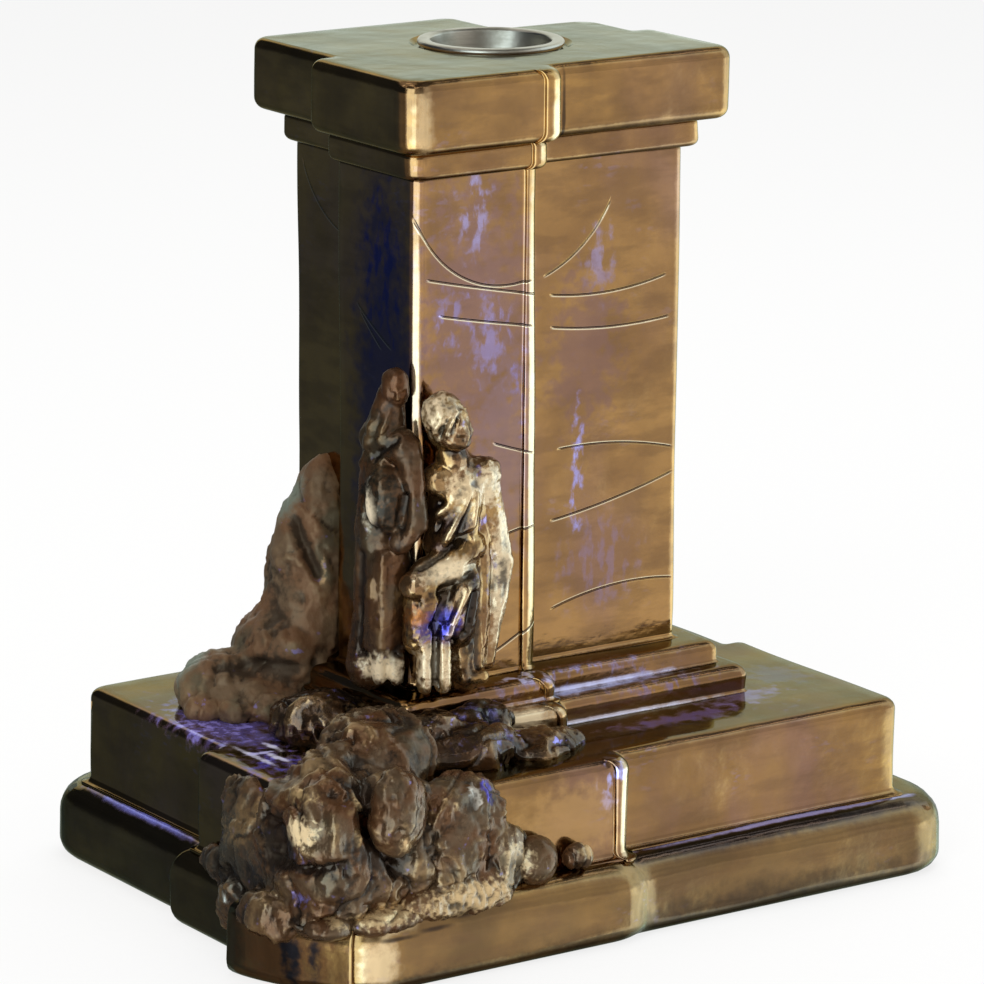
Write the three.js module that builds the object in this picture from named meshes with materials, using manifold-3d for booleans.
// A glazed ceramic candlestick in the shape of a ruined pillar: a rounded foot, a plinth, two steps, a tall
// shaft, a necking moulding and a cap slab, with rocks and two small leaning figures at the front corner.
// A metal candle cup lifts out of a round recess in the cap.
// Units are millimetres and +Z is up. The origin is on the underside, on the candle's axis.
// The camera of the photograph looks towards +X and +Y, so "front" is -Y and "left" is -X.
import * as THREE from "three";
import { mergeVertices } from "three/addons/utils/BufferGeometryUtils.js";
import Module from "manifold-3d";

const wasm = await Module();
wasm.setup();

// Gap between pieces whose surfaces follow each other, where slip would fill the joint.
const SLIP_GAP = 0.3;

// The candle and its metal cup.
const CANDLE_DIAMETER = 22;
const CANDLE_CLEARANCE = 0.5;
const CUP_WALL = 0.8;
const CUP_DEPTH = 16.5;
const CUP_CORNER = 1.6;
const CUP_SHOULDER = 0.6;
const CUP_FIT_CLEARANCE = 0.4;
const RIM_OVERHANG = 1.7;
const RIM_HEIGHT = 1.3;
const RIM_SINK = 0.7;
const RECESS_CLEARANCE = 1.3;
const CUP_SEGMENTS = 40;

// The ceramic's wall, and the roof of the plinth's hollow.
const SHAFT_WALL = 6;
const PLINTH_WALL = 9;
const PLINTH_ROOF = 6;
const FOOT_FLOOR = 6;

// A small hole in the foot's floor lets the air out of the hollow in the kiln.
const VENT_DIAMETER = 8;
const VENT_FROM_AXIS = 30;

// Heights of the tiers, from the underside up.
const FOOT_HEIGHT = 15.5;
const PLINTH_HEIGHT = 19.1;
const LOWER_STEP_HEIGHT = 5.4;
const UPPER_STEP_HEIGHT = 4.4;
const SHAFT_HEIGHT = 97;
const NECKING_HEIGHT = 5.7;
const CAP_HEIGHT = 13.7;

// The shaft's and the foot's plans without their corner block, and where the candle's axis stands in each,
// as a share of the width from the left and of the depth from the front.
const SHAFT_WIDTH = 59;
const SHAFT_DEPTH = 44.5;
const SHAFT_AXIS_SHARE = { left: 0.483, front: 0.4607 };
const FOOT_WIDTH = 143.4;
const FOOT_DEPTH = 107.7;
const FOOT_AXIS_SHARE = { left: 0.493, front: 0.5265 };

// The corner block stands out at the front corner and the back corner is set in.
const BLOCK_LEFT_PROUD = 4.5;
const FOOT_BLOCK_LEFT_PROUD = 3.3;
const BLOCK_FRONT_PROUD = 3.4;
const BACK_SET_IN = 4.2;

// Where the corner block ends on the front face, and on the left face of the upper tiers, the plinth and the foot.
const BLOCK_FRONT_END = -4.8;
const BLOCK_LEFT_END = 2.4;
const PLINTH_BLOCK_LEFT_END = -7.5;
const FOOT_BLOCK_LEFT_END = -2.2;
const BACK_RIGHT_END = -1;
const BACK_LEFT_END = 11;

// The foot's front corner spreads out once more past its corner block, with a wide round.
const TOE_PROUD = 6.7;
const TOE_STRAIGHT = 2;
const TOE_CORNER = 13;
const TOE_END_CORNER = 3.5;

// The foot's ledge round the plinth, and how far each upper tier stands out past the shaft.
const FOOT_LEDGE = { left: 4.8, right: 10.7, front: 5, back: 10 };
const UPPER_STEP_OUT = { left: 6.5, right: 6, front: 7, back: 6 };
const LOWER_STEP_OUT = { left: 10, right: 9.5, front: 11.5, back: 9.5 };
const NECKING_OUT = { left: 2.5, right: 2.6, front: 2.6, back: 1.4 };
const CAP_OUT = { left: 6.3, right: 6.3, front: 7.2, back: 6.5 };

// The broken back corner of the cap, measured from the candle's axis.
const CAP_BREAK_X = 11.6;
const CAP_BREAK_Y = 14;
const CAP_BREAK_CORNER = 4;

// Rounded edges: how far in and how high each tier's top and bottom edges turn, and its corner radius.
const FOOT_EDGE = { inset: 4.6, rise: 6.4, corner: 5.5 };
const PLINTH_EDGE = { inset: 1.8, rise: 2.2, corner: 1.9 };
const STEP_EDGE = { inset: 1.5, rise: 1.7, corner: 1.6 };
const SHAFT_EDGE = { inset: 0.4, rise: 0.8, corner: 1.3 };
const NECKING_EDGE = { inset: 1.2, rise: 1.5, corner: 1.6 };
const CAP_EDGE = { inset: 1.5, rise: 2.2, corner: 1.7 };
const NOTCH_CORNER = 1.3;
const CORNER_STEPS = 3;
const EDGE_STEPS = 3;

// The toe's side holds its two rounded corners also where the foot's edge is drawn in.
const TOE_LENGTH = TOE_CORNER + TOE_END_CORNER + 2 * FOOT_EDGE.inset + TOE_STRAIGHT;

const GLAZE = { color: 0x7a5a3a, roughness: 0.24, metalness: 0.75 };
const ROCK_GLAZE = { color: 0x4a3623, roughness: 0.34, metalness: 0.7 };
const FIGURE_GLAZE = { color: 0x8a6a44, roughness: 0.26, metalness: 0.75 };
const PEWTER = { color: 0xa8a49b, roughness: 0.38, metalness: 0.95 };

// Each tier's lowest level.
const PLINTH_BASE = FOOT_HEIGHT;
const LOWER_STEP_BASE = PLINTH_BASE + PLINTH_HEIGHT;
const UPPER_STEP_BASE = LOWER_STEP_BASE + LOWER_STEP_HEIGHT;
const SHAFT_BASE = UPPER_STEP_BASE + UPPER_STEP_HEIGHT;
const NECKING_BASE = SHAFT_BASE + SHAFT_HEIGHT;
const CAP_BASE = NECKING_BASE + NECKING_HEIGHT;
const TOP = CAP_BASE + CAP_HEIGHT;

// A tier's four sides as distances from the candle's axis.
function sidesOf(width, depth, share) {
  const left = width * share.left;
  const front = depth * share.front;
  return { left, right: width - left, front, back: depth - front };
}

// Sides moved out by a ledge on each, or in by it where the sign is -1.
function stepped(sides, ledge, sign = 1) {
  return Object.fromEntries(Object.entries(sides).map(([side, length]) => [side, length + sign * ledge[side]]));
}

const FOOT = sidesOf(FOOT_WIDTH, FOOT_DEPTH, FOOT_AXIS_SHARE);
const PLINTH = stepped(FOOT, FOOT_LEDGE, -1);
const SHAFT = sidesOf(SHAFT_WIDTH, SHAFT_DEPTH, SHAFT_AXIS_SHARE);

// The corners of a tier's plan, anticlockwise from the front corner, each with its rounding radius.
function planCorners(plan) {
  const { sides, corner, broken = false, leftProud = BLOCK_LEFT_PROUD, leftEnd = BLOCK_LEFT_END, toe = 0 } = plan;
  const left = -sides.left;
  const right = sides.right;
  const front = -sides.front;
  const back = sides.back;
  const blockLeft = left - leftProud;
  const blockFront = front - BLOCK_FRONT_PROUD;
  const setInX = right - BACK_SET_IN;
  const setInY = back - BACK_SET_IN;
  const points = [
    [blockLeft - toe, blockFront, toe > 0 ? TOE_CORNER : corner],
    [BLOCK_FRONT_END, blockFront, NOTCH_CORNER],
    [BLOCK_FRONT_END, front, NOTCH_CORNER],
    [right, front, corner],
    [right, BACK_RIGHT_END, NOTCH_CORNER],
    [setInX, BACK_RIGHT_END, NOTCH_CORNER],
  ];
  if (broken) {
    points.push([setInX, CAP_BREAK_Y, CAP_BREAK_CORNER]);
    points.push([CAP_BREAK_X, CAP_BREAK_Y, NOTCH_CORNER]);
    points.push([CAP_BREAK_X, back, corner]);
  } else {
    points.push([setInX, setInY, corner]);
    points.push([BACK_LEFT_END, setInY, NOTCH_CORNER]);
    points.push([BACK_LEFT_END, back, NOTCH_CORNER]);
  }
  points.push([left, back, corner]);
  points.push([left, leftEnd, NOTCH_CORNER]);
  points.push([blockLeft, leftEnd, NOTCH_CORNER]);
  if (toe > 0) {
    points.push([blockLeft, blockFront + TOE_LENGTH, NOTCH_CORNER]);
    points.push([blockLeft - toe, blockFront + TOE_LENGTH, TOE_END_CORNER]);
  }
  return points;
}

// The plan drawn in by inset on every side, with each corner rounded by an arc of the same number of points.
function planRing(corners, inset) {
  const ring = [];
  const moved = corners.map(([x, y, radius], i) => {
    const before = corners.at(i - 1);
    const after = corners[(i + 1) % corners.length];
    const along = new THREE.Vector2(x - before[0], y - before[1]).normalize();
    const next = new THREE.Vector2(after[0] - x, after[1] - y).normalize();
    const inward = new THREE.Vector2(-along.y - next.y, along.x + next.x);
    return { point: new THREE.Vector2(x, y).addScaledVector(inward, inset), along, next, radius };
  });
  for (const { point, along, next, radius } of moved) {
    const centre = point.clone().addScaledVector(along, -radius).addScaledVector(next, radius);
    for (let i = 0; i <= CORNER_STEPS; i++) {
      const angle = (i / CORNER_STEPS) * (Math.PI / 2);
      const offset = new THREE.Vector2()
        .addScaledVector(next, -radius * Math.cos(angle))
        .addScaledVector(along, radius * Math.sin(angle));
      ring.push(centre.clone().add(offset));
    }
  }
  return ring;
}

// A closed solid through level rings that all have the same number of points.
function loft(levels) {
  const positions = [];
  const faces = [];
  const count = levels[0].ring.length;
  for (const { ring, z } of levels) {
    for (const point of ring) positions.push(point.x, point.y, z);
  }
  for (let level = 0; level + 1 < levels.length; level++) {
    for (let i = 0; i < count; i++) {
      const a = level * count + i;
      const b = level * count + ((i + 1) % count);
      faces.push(a, b, b + count, a, b + count, a + count);
    }
  }
  const lid = THREE.ShapeUtils.triangulateShape(levels[0].ring, []);
  const top = (levels.length - 1) * count;
  for (const [a, b, c] of lid) {
    faces.push(a, c, b, top + a, top + b, top + c);
  }
  const geometry = new THREE.BufferGeometry();
  geometry.setAttribute("position", new THREE.Float32BufferAttribute(positions, 3));
  geometry.setIndex(faces);
  return geometry;
}

// A slab with soft top and bottom edges. grow makes it larger all round, for cutting its neighbours.
function tier({ base, height, edge, grow = 0, ...plan }) {
  const corners = planCorners({ ...plan, corner: edge.corner });
  const levels = [];
  for (let i = 0; i <= EDGE_STEPS; i++) {
    const angle = (i / EDGE_STEPS) * (Math.PI / 2);
    const inset = edge.inset * (1 - Math.sin(angle));
    const rise = edge.rise * (1 - Math.cos(angle));
    levels.push({ ring: planRing(corners, inset - grow), z: base + rise - grow });
  }
  for (let i = EDGE_STEPS; i >= 0; i--) {
    const angle = (i / EDGE_STEPS) * (Math.PI / 2);
    const inset = edge.inset * (1 - Math.sin(angle));
    const rise = edge.rise * (1 - Math.cos(angle));
    levels.push({ ring: planRing(corners, inset - grow), z: base + height - rise + grow });
  }
  return solidFrom(loft(levels));
}

// A straight prism on a tier's plan, drawn in by wall, for the hollow inside it.
function hollow(plan, wall, from, to) {
  const corners = planCorners({ ...plan, corner: NOTCH_CORNER, toe: 0 });
  const ring = planRing(corners, wall);
  return solidFrom(loft([{ ring, z: from }, { ring, z: to }]));
}

// A closed geometry as a solid that can be joined and cut.
function solidFrom(geometry) {
  const bare = geometry.clone();
  bare.deleteAttribute("normal");
  bare.deleteAttribute("uv");
  const merged = mergeVertices(bare, 1e-4);
  const vertProperties = new Float32Array(merged.attributes.position.array);
  const triVerts = new Uint32Array(merged.index.array);
  return new wasm.Manifold(new wasm.Mesh({ numProp: 3, vertProperties, triVerts }));
}

// The largest single body of a solid, as a geometry. Crumbs that a cut leaves behind are dropped.
function geometryFrom(solid) {
  const bodies = solid.decompose().sort((a, b) => b.volume() - a.volume());
  const mesh = bodies[0].getMesh();
  const geometry = new THREE.BufferGeometry();
  geometry.setAttribute("position", new THREE.Float32BufferAttribute(mesh.vertProperties, 3));
  geometry.setIndex(Array.from(mesh.triVerts));
  geometry.computeVertexNormals();
  return geometry;
}

function joined(solids) {
  return solids.reduce((sum, solid) => sum.add(solid));
}

function turned(profile, segments) {
  const points = profile.map(([radius, z]) => new THREE.Vector2(radius, z));
  const geometry = new THREE.LatheGeometry(points, segments);
  geometry.rotateX(Math.PI / 2);
  return solidFrom(geometry);
}

// The cup's radii follow from the candle, and the recess from the cup.
const CUP_BORE_RADIUS = (CANDLE_DIAMETER + 2 * CANDLE_CLEARANCE) / 2;
const CUP_BODY_RADIUS = CUP_BORE_RADIUS + CUP_WALL;
const RIM_RADIUS = CUP_BODY_RADIUS + RIM_OVERHANG;
const SOCKET_RADIUS = CUP_BODY_RADIUS + CUP_FIT_CLEARANCE;
const RECESS_RADIUS = RIM_RADIUS + RECESS_CLEARANCE;
const RIM_BASE = TOP - RIM_SINK + SLIP_GAP;
const RIM_TOP = RIM_BASE + RIM_HEIGHT;

// The metal cup: a turned pot with a rolled rim that hangs on the recess in the cap.
function candleCup() {
  const bottom = RIM_TOP - CUP_DEPTH;
  const floor = bottom + CUP_WALL;
  const rollRadius = RIM_HEIGHT / 2;
  const profile = [[0, bottom], [CUP_BODY_RADIUS - CUP_CORNER, bottom], [CUP_BODY_RADIUS, bottom + CUP_CORNER]];
  profile.push([CUP_BODY_RADIUS, RIM_BASE]);
  for (const angle of [-60, -20, 20, 60, 90]) {
    const turn = THREE.MathUtils.degToRad(angle);
    const radius = RIM_RADIUS - rollRadius + rollRadius * Math.cos(turn);
    profile.push([radius, RIM_BASE + rollRadius + rollRadius * Math.sin(turn)]);
  }
  profile.push([CUP_BORE_RADIUS + CUP_SHOULDER, RIM_TOP], [CUP_BORE_RADIUS, RIM_TOP - CUP_SHOULDER]);
  profile.push([CUP_BORE_RADIUS, floor], [0, floor]);
  return turned(profile, CUP_SEGMENTS);
}

// The space cut for the cup: a straight socket with a shallow wider recess for the rim.
function cupSocket() {
  const recessFloor = TOP - RIM_SINK;
  const above = TOP + 1;
  const profile = [[0, NECKING_BASE - 1], [SOCKET_RADIUS, NECKING_BASE - 1], [SOCKET_RADIUS, recessFloor]];
  profile.push([RECESS_RADIUS - RIM_SINK, recessFloor], [RECESS_RADIUS + 1, above], [0, above]);
  return turned(profile, CUP_SEGMENTS);
}

const FOOT_PLAN = { sides: FOOT, leftProud: FOOT_BLOCK_LEFT_PROUD, leftEnd: FOOT_BLOCK_LEFT_END };
const PLINTH_PLAN = { sides: PLINTH, leftEnd: PLINTH_BLOCK_LEFT_END };
const SHAFT_PLAN = { sides: SHAFT };
const LOWER_STEP_PLAN = { sides: stepped(SHAFT, LOWER_STEP_OUT) };
const UPPER_STEP_PLAN = { sides: stepped(SHAFT, UPPER_STEP_OUT) };
const NECKING_PLAN = { sides: stepped(SHAFT, NECKING_OUT) };
const CAP_PLAN = { sides: stepped(SHAFT, CAP_OUT), broken: true };
const TIERS = {
  foot_slab: { ...FOOT_PLAN, toe: TOE_PROUD, base: 0, height: FOOT_HEIGHT, edge: FOOT_EDGE },
  plinth_block: { ...PLINTH_PLAN, base: PLINTH_BASE, height: PLINTH_HEIGHT, edge: PLINTH_EDGE },
  lower_step: { ...LOWER_STEP_PLAN, base: LOWER_STEP_BASE, height: LOWER_STEP_HEIGHT, edge: STEP_EDGE },
  upper_step: { ...UPPER_STEP_PLAN, base: UPPER_STEP_BASE, height: UPPER_STEP_HEIGHT, edge: STEP_EDGE },
  shaft: { ...SHAFT_PLAN, base: SHAFT_BASE, height: SHAFT_HEIGHT, edge: SHAFT_EDGE },
  necking_moulding: { ...NECKING_PLAN, base: NECKING_BASE, height: NECKING_HEIGHT, edge: NECKING_EDGE },
  cap_slab: { ...CAP_PLAN, base: CAP_BASE, height: CAP_HEIGHT, edge: CAP_EDGE },
};

function ventHole() {
  const geometry = new THREE.CylinderGeometry(VENT_DIAMETER / 2, VENT_DIAMETER / 2, FOOT_FLOOR + 2, 24);
  geometry.rotateX(Math.PI / 2);
  geometry.translate(VENT_FROM_AXIS, 0, FOOT_FLOOR / 2);
  return solidFrom(geometry);
}

// The hollows open into each other from the foot's floor to the cup's socket.
function tierSolid(name) {
  const solid = tier(TIERS[name]);
  const throat = hollow(SHAFT_PLAN, SHAFT_WALL, FOOT_HEIGHT, NECKING_BASE + 1);
  const chamber = hollow(PLINTH_PLAN, PLINTH_WALL, FOOT_FLOOR, LOWER_STEP_BASE - PLINTH_ROOF);
  if (name === "foot_slab") return solid.subtract(chamber).subtract(ventHole());
  if (name === "plinth_block") return solid.subtract(chamber).subtract(throat);
  if (name === "necking_moulding" || name === "cap_slab") return solid.subtract(cupSocket());
  return solid.subtract(throat);
}

// A rock's surface: a few broad facets in directions spread evenly round it, with soft edges between them.
const FACETS = 13;
const FACET_SHARPNESS = 9;
const GOLDEN_ANGLE = Math.PI * (3 - Math.sqrt(5));
function facetedRadius(direction, seed) {
  let sum = 0;
  for (let i = 0; i < FACETS; i++) {
    const z = 1 - (2 * i + 1) / FACETS;
    const across = Math.sqrt(1 - z * z);
    const angle = i * GOLDEN_ANGLE + seed;
    const facet = new THREE.Vector3(across * Math.cos(angle), across * Math.sin(angle), z);
    const distance = 0.86 + 0.16 * Math.sin(seed * 3.7 + i * 2.1);
    sum += Math.max(0, direction.dot(facet) / distance) ** FACET_SHARPNESS;
  }
  return sum ** (-1 / FACET_SHARPNESS);
}

// One lump of rock: centre, half sizes, a turn about the vertical in degrees, and a seed for its facets.
function lump({ at, half, turn = 0, lean = 0, seed = 1, detail = 3 }, grow) {
  const geometry = new THREE.IcosahedronGeometry(1, detail);
  const position = geometry.attributes.position;
  const direction = new THREE.Vector3();
  for (let i = 0; i < position.count; i++) {
    direction.fromBufferAttribute(position, i).normalize();
    const radius = facetedRadius(direction, seed);
    position.setXYZ(i, direction.x * radius, direction.y * radius, direction.z * radius);
  }
  geometry.scale(half[0] + grow, half[1] + grow, half[2] + grow);
  geometry.rotateY(THREE.MathUtils.degToRad(lean));
  geometry.rotateZ(THREE.MathUtils.degToRad(turn));
  geometry.translate(...at);
  return solidFrom(geometry);
}

// What the rocks and figures are placed from: the front corners of the plinth and the shaft, and the shaft's foot.
const PLINTH_CORNER = [-PLINTH.left - BLOCK_LEFT_PROUD, -PLINTH.front - BLOCK_FRONT_PROUD, PLINTH_BASE];
const SHAFT_CORNER = [-SHAFT.left - BLOCK_LEFT_PROUD, -SHAFT.front - BLOCK_FRONT_PROUD, SHAFT_BASE];
const SHAFT_FOOT = [-SHAFT.left, -SHAFT.front, LOWER_STEP_BASE];
function offset(from, by) {
  return from.map((value, i) => value + by[i]);
}

// The rocks, largest first. Each is cut by the tiers and by the rocks before it.
const ROCKS = {
  rock_outcrop: { from: PLINTH_CORNER, lumps: [
    { at: [9.4, 9.1, 9.5], half: [20.5, 18.5, 18.5], turn: 12, seed: 1.3, detail: 4 },
    { at: [22.4, 20.1, 22.5], half: [15, 13, 12], turn: 40, seed: 2.1 },
    { at: [1.4, 16.6, 5.5], half: [11, 18.5, 15], turn: 4, seed: 5.2 },
  ] },
  rock_buttress: { from: SHAFT_FOOT, lumps: [
    { at: [-4.5, 33.5, 23.4], half: [8.6, 8.4, 25.5], lean: 9, seed: 4.2, detail: 4 },
    { at: [-4, 34, 15.4], half: [9, 9, 15], lean: 8, seed: 2.6 },
    { at: [-16, 36.5, 4.4], half: [15.5, 13.5, 12], turn: -15, seed: 0.7, detail: 4 },
  ] },
  rock_right: { from: PLINTH_CORNER, lumps: [{ at: [27.9, 1.6, 7.5], half: [12, 8.8, 17], turn: 8, seed: 3.4 }] },
  rock_ridge: { from: SHAFT_FOOT, lumps: [
    { at: [-4.5, -18.5, 4.4], half: [14, 9, 9], turn: -12, seed: 6.1 },
    { at: [10.5, -21.5, 2.2], half: [11, 6.5, 6.5], turn: -5, seed: 2.9 },
  ] },
  rock_middle: { from: SHAFT_FOOT, lumps: [{ at: [-17, 7.5, 3.4], half: [9.5, 12, 9], turn: 25, seed: 7.3 }] },
  boulder_oval: { from: PLINTH_CORNER, lumps: [{ at: [11.4, -4.9, 19.8], half: [6.2, 5.4, 7.6], turn: 30, seed: 8.4 }] },
  boulder_front: { from: PLINTH_CORNER, lumps: [{ at: [9.9, -5.1, -1.9], half: [8.8, 4, 4.6], turn: 4, seed: 9.1 }] },
  boulder_edge: { from: PLINTH_CORNER, lumps: [{ at: [-1.6, -1.9, -1.5], half: [4.4, 4.4, 4], turn: 10, seed: 1.9 }] },
  boulder_dome: { from: PLINTH_CORNER, lumps: [{ at: [42.7, -1.7, 3.8], half: [4.6, 3.6, 4.6], turn: 0, seed: 3.1 }] },
  small_stone: { from: PLINTH_CORNER, lumps: [{ at: [52.2, -1.7, 2.5], half: [3, 2.8, 3], turn: 0, seed: 5.9, detail: 2 }] },
};

// A limb or a fold that tapers from one ball to another.
const LIMB_SIDES = 10;
const BALL_STEPS = 3;
function limb([from, to, startRadius, endRadius], grow) {
  const start = new THREE.Vector3(...offset(SHAFT_CORNER, from));
  const end = new THREE.Vector3(...offset(SHAFT_CORNER, to));
  const length = start.distanceTo(end);
  const profile = [];
  for (let i = 0; i <= BALL_STEPS; i++) {
    const angle = (i / BALL_STEPS) * (Math.PI / 2);
    const radius = startRadius + grow;
    profile.push(new THREE.Vector2(radius * Math.sin(angle), -radius * Math.cos(angle)));
  }
  for (let i = BALL_STEPS; i >= 0; i--) {
    const angle = (i / BALL_STEPS) * (Math.PI / 2);
    const radius = endRadius + grow;
    profile.push(new THREE.Vector2(radius * Math.sin(angle), length + radius * Math.cos(angle)));
  }
  profile[0].x = 0;
  profile.at(-1).x = 0;
  const geometry = new THREE.LatheGeometry(profile, LIMB_SIDES);
  const up = new THREE.Vector3(0, 1, 0);
  geometry.applyQuaternion(new THREE.Quaternion().setFromUnitVectors(up, end.clone().sub(start).normalize()));
  geometry.translate(start.x, start.y, start.z);
  return solidFrom(geometry);
}

// The two leaning figures, as limbs from the shaft's corner: start, end and the two radii.
const FIGURES = {
  figure_right: [
    [[3.2, -5.9, 53.6], [4.4, -7.1, 49.6], 4.1, 3.6],
    [[5.5, -4.6, 47.6], [7.5, -3.6, 41.6], 3.4, 5.2],
    [[8, -3.6, 41.6], [13, -3.6, 40.1], 5, 4.2],
    [[13.5, -4.1, 39.6], [17.8, -4.6, 25.6], 3.6, 2.6],
    [[17.8, -4.6, 25.6], [14.5, -5.6, 10.6], 2.6, 1.7],
    [[8, -3.1, 39.6], [6, -3.1, 27.6], 6, 6],
    [[1, -5.1, 29.6], [2, -5.1, 19.6], 4.6, 6.6],
    [[7, -3.1, 23.6], [7, -4.1, 13.6], 6.4, 6.4],
    [[2, -4.1, 17.6], [2.5, -5.1, 1.6], 5.6, 4.6],
    [[8, -3.1, 15.6], [8.5, -4.6, 1.6], 5, 4],
  ],
  figure_left: [
    [[-3, 1.4, 59.9], [-3.5, 1.9, 56.6], 2.9, 3.1],
    [[-3.5, 3.4, 54.6], [-3.8, 4.4, 45.6], 3.2, 5],
    [[-2.6, -1.1, 47.6], [-2, -2.7, 37.6], 3.4, 4.6],
    [[-3.8, 3.9, 45.6], [-4.2, 5.1, 31.6], 5.2, 5.4],
    [[-3.5, -0.1, 39.6], [-4.4, 1.4, 25.6], 4.4, 4.8],
    [[-4.2, 5.1, 31.6], [-4, 6.4, 13.6], 5.6, 5],
    [[-4.2, 2.4, 27.6], [-4.2, 2.9, 5.6], 5, 5],
    [[-4, 6.4, 13.6], [-5, 6.9, 2.6], 5, 5.2],
  ],
};

const root = new THREE.Group();

function addPiece(name, solid, finish) {
  const mesh = new THREE.Mesh(geometryFrom(solid), new THREE.MeshStandardMaterial(finish));
  mesh.name = name;
  root.add(mesh);
}

for (const name of Object.keys(TIERS)) {
  addPiece(name, tierSolid(name), GLAZE);
}
addPiece("candle_cup", candleCup(), PEWTER);

// Rocks and figures are pressed against the tiers and against each other.
const occupied = Object.values(TIERS).map((values) => tier({ ...values, grow: SLIP_GAP }));
function addPressedPiece(name, makeSolid, finish) {
  let solid = makeSolid(0);
  for (const neighbour of occupied) solid = solid.subtract(neighbour);
  occupied.push(makeSolid(SLIP_GAP));
  addPiece(name, solid, finish);
}

for (const [name, limbs] of Object.entries(FIGURES)) {
  addPressedPiece(name, (grow) => joined(limbs.map((values) => limb(values, grow))), FIGURE_GLAZE);
}
for (const [name, { from, lumps }] of Object.entries(ROCKS)) {
  const placed = lumps.map((values) => ({ ...values, at: offset(from, values.at) }));
  addPressedPiece(name, (grow) => joined(placed.map((values) => lump(values, grow))), ROCK_GLAZE);
}

export default root;
